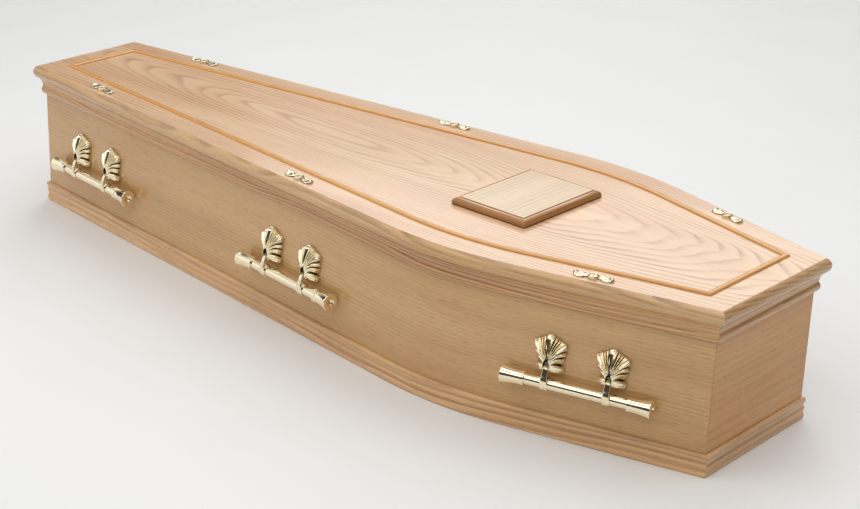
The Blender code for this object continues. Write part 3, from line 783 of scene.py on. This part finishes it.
# Half of the shell's outline, from the middle of its top round to the middle
# of its bottom: how far beside the pin, how far above it, and how far the
# front stands out there in ribs, or sinks in grooves
SHELL_HALF = (
    (0.0000, 0.0512, -0.5),
    (0.0056, 0.0514, 0.5),
    (0.0072, 0.0504, 1.1),
    (0.0088, 0.0452, -1.7),
    (0.0106, 0.0480, 1.0),
    (0.0130, 0.0474, 1.0),
    (0.0149, 0.0428, -1.6),
    (0.0165, 0.0446, 1.0),
    (0.0184, 0.0438, 0.9),
    (0.0198, 0.0402, -1.5),
    (0.0216, 0.0425, 0.9),
    (0.0246, 0.0416, 0.8),
    (0.0258, 0.0390, -0.5),
    (0.0284, 0.0388, 0.9),
    (0.0314, 0.0370, 1.9),
    (0.0330, 0.0334, 2.0),
    (0.0324, 0.0298, 1.7),
    (0.0290, 0.0266, 0.2),
    (0.0254, 0.0242, -3.2),
    (0.0290, 0.0216, 0.9),
    (0.0317, 0.0180, 1.5),
    (0.0300, 0.0138, 0.5),
    (0.0256, 0.0112, -3.2),
    (0.0288, 0.0084, 1.0),
    (0.0270, 0.0036, 1.1),
    (0.0240, -0.0026, 0.4),
    (0.0204, -0.0062, -2.8),
    (0.0266, -0.0086, 1.0),
    (0.0288, -0.0128, 1.4),
    (0.0270, -0.0184, 1.5),
    (0.0217, -0.0224, 1.1),
    (0.0160, -0.0214, 0.2),
    (0.0122, -0.0166, -2.4),
    (0.0092, -0.0188, 0.6),
    (0.0066, -0.0236, 1.0),
    (0.0044, -0.0200, 0.3),
    (0.0016, -0.0152, 0.0),
    (0.0000, -0.0146, 0.0),
)
RAYS = 288
RIB_HEIGHT = 0.0022
RIB_LIFT = 0.0050
GROOVE_CREST = -1.5
EDGE_ROLL = 0.0022
LEAST_DISTANCE = 0.0012
# Shares of the way out at which the front ends at the brow, and the wall at the board
FRONT_SHARE = 0.66
WALL_SHARE = 0.76
BROW_REACH = 0.97
outline = [Vector(spot) for spot in SHELL_HALF]
outline += [Vector((-beside, above, crest)) for beside, above, crest in reversed(SHELL_HALF[1:-1])]


def smooth_between(a, b, c, d, t):
    """A point at share t from b to c, on a smooth curve through four points."""
    return b + ((c - a) + ((a * 2 - b * 5 + c * 4 - d) + (b * 3 - a - c * 3 + d) * t) * t) * (t / 2)


def on_outline(share):
    """The outline's point at a share of the way round."""
    spot = share * len(outline)
    first = int(spot) % len(outline)
    near = [outline[(first + step) % len(outline)] for step in (-1, 0, 1, 2)]
    return smooth_between(*near, spot - int(spot))


def shell_place(around, out):
    """A point of the shell: from the slot down the ribbed front, over the brow, and back inside."""
    rim = on_outline(around % 1.0)
    slot_middle = Vector((0.0, SLOT_RISE))
    edge = Vector((rim.x, rim.y))
    ray = edge - slot_middle
    angle = math.atan2(ray.x, ray.y)
    reach = Vector((SLOT_HALF_WIDTH * math.sin(angle), SLOT_HALF_HEIGHT * math.cos(angle)))
    lip = slot_middle + reach
    # The ribs at the sides leave the slot upwards, and then bend out
    lift = RIB_LIFT * (1 - blend(0.022, 0.046, edge.y)) * blend(-0.024, 0.0, edge.y)
    if out <= FRONT_SHARE:
        t = out / FRONT_SHARE
        fall = (SHELL_FRONT - SHELL_BROW) * t**1.12
        # The deep grooves start further out than the ribs
        swell = blend(0.05, 0.55, t) if rim.z > GROOVE_CREST else blend(0.18, 0.62, t)
        relief = RIB_HEIGHT * rim.z * swell
        roll = EDGE_ROLL * blend(0.86, 1.0, t)
        distance = max(SHELL_FRONT - fall + relief - roll, LEAST_DISTANCE)
        # Painted shade darkens the grooves, more where they sink deeper
        painted_shade_amount = 1.5 * blend(0.2, 1.7, -rim.z) * swell
        spot = lip + (edge - lip) * t * BROW_REACH + Vector((0.0, lift * 4 * t * (1 - t)))
        return Vector((spot.x, -distance, spot.y)), painted_shade_amount
    if out <= WALL_SHARE:
        t = (out - FRONT_SHARE) / (WALL_SHARE - FRONT_SHARE)
        spot = lip + (edge - lip) * (BROW_REACH + (1 - BROW_REACH) * math.sin(t * math.pi / 2))
        top = max(SHELL_BROW - EDGE_ROLL + RIB_HEIGHT * rim.z, LEAST_DISTANCE)
        # The wall down to the board gets painted shade that grows towards the board
        return Vector((spot.x, -(BOARD_GAP + (top - BOARD_GAP) * (1 - t) ** 0.7), spot.y)), 0.5 * t
    # Inside, behind the slot, the shell is all painted shade
    inside = (
        (WALL_SHARE, 0.00, BOARD_GAP),
        (0.82, 0.14, BOARD_GAP),
        (0.88, 0.50, SHELL_BROW + 0.0040),
        (0.94, 1.00, SHELL_FRONT - SHELL_WALL),
        (1.00, 1.00, SHELL_FRONT),
    )
    for (start, share_a, deep_a), (end, share_b, deep_b) in zip(inside, inside[1:]):
        if out <= end + 1e-6:
            t = (out - start) / (end - start)
            spot = edge.lerp(lip, share_a + (share_b - share_a) * t)
            return Vector((spot.x, -(deep_a + (deep_b - deep_a) * t), spot.y)), 1.0
    return Vector((lip.x, -SHELL_FRONT, lip.y)), 1.0


PIN_REACH = 0.0142
PIN_RADIUS = 0.002
pin_profile = [(-PIN_REACH, 0.0), (-PIN_REACH, PIN_RADIUS), (PIN_REACH, PIN_RADIUS), (PIN_REACH, 0.0)]
for side in ("left", "right"):
    for place in ("foot", "middle", "head"):
        hinge = handle_place(side, place)
        for number, shift in ((1, -1), (2, 1)):
            bm = bmesh.new()
            sheet(bm, RAYS, 50, shell_place)
            bmesh.ops.translate(bm, verts=bm.verts, vec=(0, HINGE_DISTANCE, 0))
            # The pin inside the slot gets painted shade
            turned_part(bm, pin_profile, 12, Matrix.Identity(4), painted_shade_amount=1.2)
            along = shift * ARM_SPACING / 2 * (1 if side == "left" else -1)
            bmesh.ops.transform(bm, matrix=hinge @ Matrix.Translation((along, 0, 0)), verts=bm.verts)
            piece = finished(bm, f"shell_{side}_{place}_{number}", [polished_brass], smooth_angle=70)
            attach(piece, "coffin")
            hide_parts(f"escutcheon_{side}_{place}_{number}")


# Handle arms. Cast straps like short sabres: an eye round the pin in the
# shell, a curved blade that widens downwards, and a ring round the bar.
BAR_DISTANCE = 0.021
HINGE_HEIGHT = 0.157
BAR_HEIGHT = 0.117
BAR_OUT = BAR_DISTANCE - HINGE_DISTANCE
BAR_DROP = HINGE_HEIGHT - BAR_HEIGHT
BAR_RADIUS = 0.011
RING_RADIUS = 0.0135
RING_BORE = BAR_RADIUS + 0.0002
RING_HALF_WIDTH = 0.00775
RING_ARRIS = 0.0009
EYE_RADIUS = 0.0045
EYE_BORE = 0.0024
EYE_HALF_WIDTH = 0.0044
# The strap's middle line from the pin: how far out of the board, and how far up
ARM_PATH = (
    (0.0000, 0.0000),
    (0.0034, -0.0022),
    (0.0066, -0.0060),
    (0.0096, -0.0108),
    (0.0124, -0.0180),
    (0.0146, -0.0260),
    (0.0166, -0.0335),
    (0.0156, -0.0390),
)
WIDTH_AT_PIN = 0.0098
WIDTH_AT_RING = 0.0140
BLADE_THICKNESS = 0.0038


def arm_place(around, along):
    """A point of the strap: a rounded oblong section on a smooth curve from pin to ring."""
    spot = along * (len(ARM_PATH) - 1)
    first = min(int(spot), len(ARM_PATH) - 2)
    t = spot - first
    last = len(ARM_PATH) - 1
    a, b, c, d = (Vector(ARM_PATH[min(max(first + step, 0), last)]) for step in (-1, 0, 1, 2))
    centre = smooth_between(a, b, c, d, t)
    heading = ((c - a) * (1 - t) + (d - b) * t).normalized()
    across = Vector((-heading.y, heading.x))
    width = WIDTH_AT_PIN + (WIDTH_AT_RING - WIDTH_AT_PIN) * blend(0.15, 1.0, along)
    angle = math.tau * around
    wide = math.copysign(abs(math.cos(angle)) ** 0.45, math.cos(angle)) * width / 2
    thick = math.copysign(abs(math.sin(angle)) ** 0.6, math.sin(angle)) * BLADE_THICKNESS / 2
    spot = centre + across * thick
    # Painted shade on the top of the strap, where it goes into the slot
    return Vector((wide, -spot.x, spot.y)), 1.5 * (1 - blend(0.25, 0.45, along))


ring_profile = [
    (-RING_HALF_WIDTH, RING_BORE),
    (-RING_HALF_WIDTH, RING_RADIUS - RING_ARRIS),
    (-RING_HALF_WIDTH + RING_ARRIS, RING_RADIUS),
    (RING_HALF_WIDTH - RING_ARRIS, RING_RADIUS),
    (RING_HALF_WIDTH, RING_RADIUS - RING_ARRIS),
    (RING_HALF_WIDTH, RING_BORE),
    (-RING_HALF_WIDTH, RING_BORE),
]
eye_profile = [
    (-EYE_HALF_WIDTH, EYE_BORE),
    (-EYE_HALF_WIDTH, EYE_RADIUS),
    (EYE_HALF_WIDTH, EYE_RADIUS),
    (EYE_HALF_WIDTH, EYE_BORE),
    (-EYE_HALF_WIDTH, EYE_BORE),
]
bar_axis = Matrix.Translation((0, -BAR_OUT, -BAR_DROP))
for side in ("left", "right"):
    for place in ("foot", "middle", "head"):
        hinge = handle_place(side, place)
        for number, shift in ((1, -1), (2, 1)):
            bm = bmesh.new()
            sheet(bm, 24, 24, arm_place)
            bmesh.ops.remove_doubles(bm, verts=bm.verts, dist=0.00002)
            bmesh.ops.edgeloop_fill(bm, edges=[edge for edge in bm.edges if edge.is_boundary])
            turned_part(bm, ring_profile, 40, bar_axis)
            # The eye round the pin, inside the slot, gets painted shade
            turned_part(bm, eye_profile, 20, Matrix.Identity(4), painted_shade_amount=1.2)
            along = shift * ARM_SPACING / 2 * (1 if side == "left" else -1)
            bmesh.ops.transform(bm, matrix=hinge @ Matrix.Translation((along, 0, 0)), verts=bm.verts)
            piece = finished(bm, f"arm_{side}_{place}_{number}", [polished_brass], smooth_angle=40)
            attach(piece, f"handle_{side}_{place}")
            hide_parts(f"handle_arm_{side}_{place}_{number}")


# Handle bars. Plated tube with a flared casting pushed on each end: a square
# collar, a concave flare, a rounded rim, and a dished end with a dimple.
BAR_LENGTH = 0.297
TIP_LENGTH = 0.047
TIP_RADIUS = 0.0182
COLLAR_RADIUS = 0.0143
COLLAR_LENGTH = 0.0085
COLLAR_ARRIS = 0.0006
FLARE_START = 0.0030
FLARE_END = 0.0090
FLARE_HOLLOW = 1.7
FLARE_STEPS = 9
RIM_RADIUS = 0.0016
# The dished end with its dimple: how far in from the end, and how far from the axis
DISH_HALF = (
    (0.0090, 0.0),
    (0.0088, 0.0012),
    (0.0052, 0.0017),
    (0.0044, 0.0030),
    (0.0030, 0.0052),
    (0.0012, 0.0072),
    (0.0003, 0.0084),
    (0.0, 0.0100),
    (0.0, 0.0150),
)
half = BAR_LENGTH / 2
collar = half - TIP_LENGTH
tip_profile = [(half - inwards, radius) for inwards, radius in DISH_HALF]
tip_profile += arc((half - RIM_RADIUS, TIP_RADIUS - RIM_RADIUS), RIM_RADIUS, 0, 100, 5)
for step in range(1, FLARE_STEPS + 1):
    t = step / FLARE_STEPS
    tip_profile.append((
        half - FLARE_START - (TIP_LENGTH - FLARE_START - FLARE_END) * t,
        COLLAR_RADIUS - 0.0004 + (TIP_RADIUS - COLLAR_RADIUS) * (1 - t) ** FLARE_HOLLOW,
    ))
tip_profile += [
    (collar + COLLAR_LENGTH, COLLAR_RADIUS + 0.0002),
    (collar + COLLAR_ARRIS, COLLAR_RADIUS + 0.0002),
    (collar, COLLAR_RADIUS - 0.0004),
    (collar, BAR_RADIUS),
]
bar_profile = tip_profile + [(-along, radius) for along, radius in reversed(tip_profile)]
for side in ("left", "right"):
    for place in ("foot", "middle", "head"):
        bm = bmesh.new()
        turned_part(bm, bar_profile, 56, bar_axis)
        bmesh.ops.transform(bm, matrix=handle_place(side, place), verts=bm.verts)
        piece = finished(bm, f"bar_{side}_{place}", [polished_brass], smooth_angle=38)
        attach(piece, f"handle_{side}_{place}")
        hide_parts(f"handle_bar_{side}_{place}")


# Studio. A plain pale painted floor, softboxes overhead, in front, at the left
# and behind, and a room that is dark low down, with pale bands of light above,
# which give the brass its lines.
FLOOR_HALF = 30.0
FLOOR_GAP = 0.0004
floor_mesh = bmesh.new()
bmesh.ops.create_grid(floor_mesh, x_segments=1, y_segments=1, size=FLOOR_HALF)
bmesh.ops.translate(floor_mesh, verts=floor_mesh.verts, vec=(0, 0, -FLOOR_GAP))
paper = bpy.data.materials.new("painted_studio_floor")
paper.use_nodes = True
tree = paper.node_tree
place = add_node(tree, "ShaderNodeTexCoord").outputs["Object"]
grain = add_node(tree, "ShaderNodeTexNoise", {"Vector": place, "Scale": 3.0, "Detail": 4.0})
pale = add_node(tree, "ShaderNodeMix", {
    0: grain.outputs["Fac"], 6: linear("#EFEFED"), 7: linear("#F4F4F3")}, data_type="RGBA")
tree.links.new(pale.outputs[2], tree.nodes["Principled BSDF"].inputs["Base Color"])
tree.nodes["Principled BSDF"].inputs["Roughness"].default_value = 0.7
floor = finished(floor_mesh, "studio_floor", [paper])

room = bpy.data.worlds.new("studio_room")
room.use_nodes = True
bpy.context.scene.world = room
tree = room.node_tree
tree.nodes.clear()
direction = add_node(tree, "ShaderNodeTexCoord").outputs["Generated"]
height = add_node(tree, "ShaderNodeSeparateXYZ", {"Vector": direction}).outputs["Z"]
walls = add_node(tree, "ShaderNodeValToRGB", {"Fac": height})
set_stops(walls, (
    (0.0, 0.85), (0.012, 0.50), (0.035, 0.06), (0.40, 0.05), (0.52, 0.40), (0.62, 0.80),
    (0.70, 0.80), (0.76, 0.18), (0.82, 0.18), (0.88, 0.75), (1.0, 0.55),
))
sky = add_node(tree, "ShaderNodeBackground", {"Color": walls.outputs["Color"], "Strength": 1.0})
add_node(tree, "ShaderNodeOutputWorld", {"Surface": sky.outputs[0]})


def softbox(name, place, target, size, power):
    """A soft rectangular light that faces a target."""
    light = bpy.data.lights.new(name, "AREA")
    light.shape = "RECTANGLE"
    light.size, light.size_y = size
    light.energy = power
    lamp = bpy.data.objects.new(name, light)
    lamp.location = place
    lamp.rotation_euler = (Vector(target) - Vector(place)).to_track_quat("-Z", "Y").to_euler()
    bpy.context.scene.collection.objects.link(lamp)


softbox("overhead_box", (0.1, 0.9, 2.9), (0.0, 0.0, 0.3), (4.2, 1.8), 28)
softbox("front_low_box", (0.3, -3.4, 2.9), (0.1, -0.3, 0.1), (5.2, 1.4), 32)
softbox("front_high_box", (0.2, -1.3, 3.3), (0.1, -0.3, 0.1), (5.2, 1.2), 28)
softbox("side_box", (-5.0, -3.9, 1.9), (0.0, -0.2, 0.3), (4.2, 3.4), 43)
softbox("back_box", (-1.9, 3.6, 2.8), (0.7, 0.0, 0.3), (3.4, 1.8), 42)


# Camera. It stands where the photograph was taken from, off the near shoulder
# and above, turned a little about its own axis. Its lens is in the pixels of
# an image 860 wide.
IMAGE_WIDTH = 860
FOCAL_PIXELS = 1926.05
CAMERA_PLACE = Vector((2.563, -2.8037, 1.6819))
AZIMUTH = math.radians(40.8148)
ELEVATION = math.radians(22.5502)
ROLL = math.radians(2.0107)
back = Vector((
    math.sin(AZIMUTH) * math.cos(ELEVATION),
    -math.cos(AZIMUTH) * math.cos(ELEVATION),
    math.sin(ELEVATION),
))
level = Vector((math.cos(AZIMUTH), math.sin(AZIMUTH), 0.0))
upright = back.cross(level)
across = level * math.cos(ROLL) + upright * math.sin(ROLL)
upwards = upright * math.cos(ROLL) - level * math.sin(ROLL)
lens = bpy.data.cameras.new("photo_camera")
lens.sensor_width = 36.0
lens.lens = lens.sensor_width * FOCAL_PIXELS / IMAGE_WIDTH
lens.clip_start = 0.05
lens.clip_end = 120.0
camera = bpy.data.objects.new("photo_camera", lens)
turned_to_view = Matrix((across, upwards, back)).transposed().to_4x4()
camera.matrix_world = Matrix.Translation(CAMERA_PLACE) @ turned_to_view
bpy.context.scene.collection.objects.link(camera)
bpy.context.scene.camera = camera
bpy.context.scene.view_settings.view_transform = "Standard"
bpy.context.scene.view_settings.look = "None"
